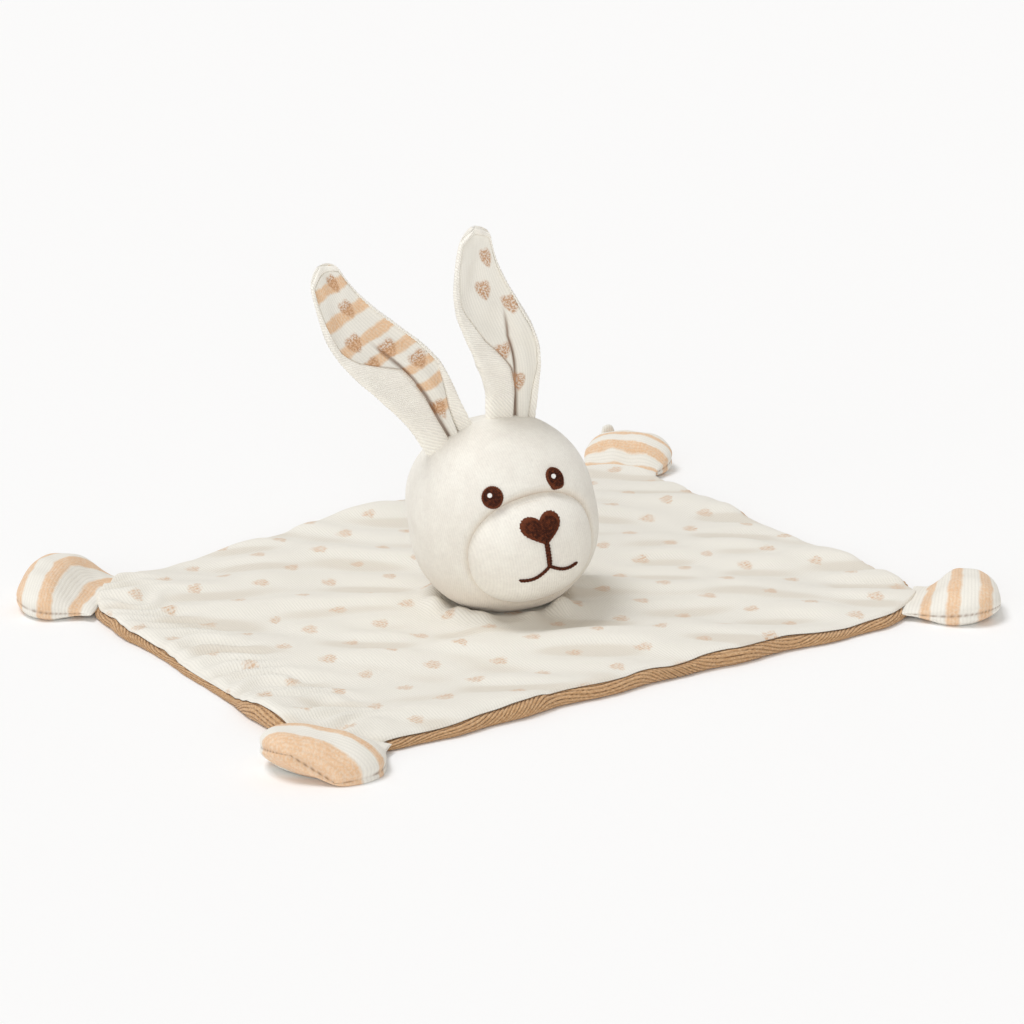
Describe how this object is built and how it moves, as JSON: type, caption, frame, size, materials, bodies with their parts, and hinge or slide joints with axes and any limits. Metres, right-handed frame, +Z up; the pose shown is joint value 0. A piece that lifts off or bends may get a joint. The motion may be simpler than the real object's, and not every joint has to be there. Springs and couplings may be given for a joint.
{
  "type": "comfort blanket",
  "caption": "Bunny-head comfort blanket: stuffed head with two long ears on a small two-layer blanket with a stuffed striped paw at each corner.",
  "frame": {"origin": "centre of the bounding box at the underside of the blanket", "axes": "+X along the blanket's long side, to the viewer's right; -Y towards the side that the face looks to; +Z up"},
  "size_m": [0.3264, 0.2646, 0.1535],
  "materials": {
    "printed_jersey": "thin cream jersey with pale tan spots",
    "striped_jersey": "cream jersey with soft tan stripes",
    "ribbed_velour": "tan ribbed velour",
    "cream_velour": "off-white short-nap velour",
    "stuffing": "white polyester stuffing",
    "brown_thread": "dark brown satin stitch",
    "white_thread": "white satin stitch"
  },
  "bodies": {
    "blanket": {"blanket_top": "printed_jersey", "blanket_backing": "ribbed_velour"},
    "head": {"head_cover": "cream_velour", "head_filling": "stuffing", "muzzle_cover": "cream_velour", "muzzle_filling": "stuffing", "eye_left": "brown_thread", "eye_left_highlight": "white_thread", "eye_right": "brown_thread", "eye_right_highlight": "white_thread", "nose": "brown_thread", "mouth": "brown_thread"},
    "ear_left": {"ear_left_back": "cream_velour", "ear_left_front": "striped_jersey"},
    "ear_right": {"ear_right_back": "cream_velour", "ear_right_front": "printed_jersey"},
    "paw_front_left": {"paw_front_left_upper_panel": "striped_jersey", "paw_front_left_lower_panel": "striped_jersey", "paw_front_left_filling": "stuffing"},
    "paw_front_right": {"paw_front_right_upper_panel": "striped_jersey", "paw_front_right_lower_panel": "striped_jersey", "paw_front_right_filling": "stuffing"},
    "paw_rear_left": {"paw_rear_left_upper_panel": "striped_jersey", "paw_rear_left_lower_panel": "striped_jersey", "paw_rear_left_filling": "stuffing"},
    "paw_rear_right": {"paw_rear_right_upper_panel": "striped_jersey", "paw_rear_right_lower_panel": "striped_jersey", "paw_rear_right_filling": "stuffing", "paw_rear_right_tab": "printed_jersey"}
  },
  "joints": [
    {"name": "head_nod", "type": "hinge", "parent": "blanket", "child": "head", "pos_m": [-0.00483, -0.00893, 0.0055], "axis": [-0.9816, 0.1908, 0], "range_deg": [0, 20], "stiffness_Nm_per_rad": 0.04},
    {"name": "ear_left_bend", "type": "hinge", "parent": "head", "child": "ear_left", "pos_m": [-0.02727, -0.01068, 0.07393], "axis": [0.8537, -0.1659, 0.4936], "range_deg": [-60, 60], "stiffness_Nm_per_rad": 0.003},
    {"name": "ear_right_bend", "type": "hinge", "parent": "head", "child": "ear_right", "pos_m": [0.00004, -0.01599, 0.07969], "axis": [0.9773, -0.19, -0.0934], "range_deg": [-60, 60], "stiffness_Nm_per_rad": 0.003},
    {"name": "paw_front_left_fold", "type": "hinge", "parent": "blanket", "child": "paw_front_left", "pos_m": [-0.13107, -0.10132, 0.003], "axis": [-0.6691, 0.7431, 0], "range_deg": [-90, 90]},
    {"name": "paw_front_right_fold", "type": "hinge", "parent": "blanket", "child": "paw_front_right", "pos_m": [0.12993, -0.09982, 0.003], "axis": [-0.766, -0.6428, 0], "range_deg": [-90, 90]},
    {"name": "paw_rear_left_fold", "type": "hinge", "parent": "blanket", "child": "paw_rear_left", "pos_m": [-0.13007, 0.07918, 0.003], "axis": [0.7193, 0.6947, 0], "range_deg": [-90, 90]},
    {"name": "paw_rear_right_fold", "type": "hinge", "parent": "blanket", "child": "paw_rear_right", "pos_m": [0.13293, 0.10118, 0.003], "axis": [0.6561, -0.7547, 0], "range_deg": [-90, 90]}
  ]
}
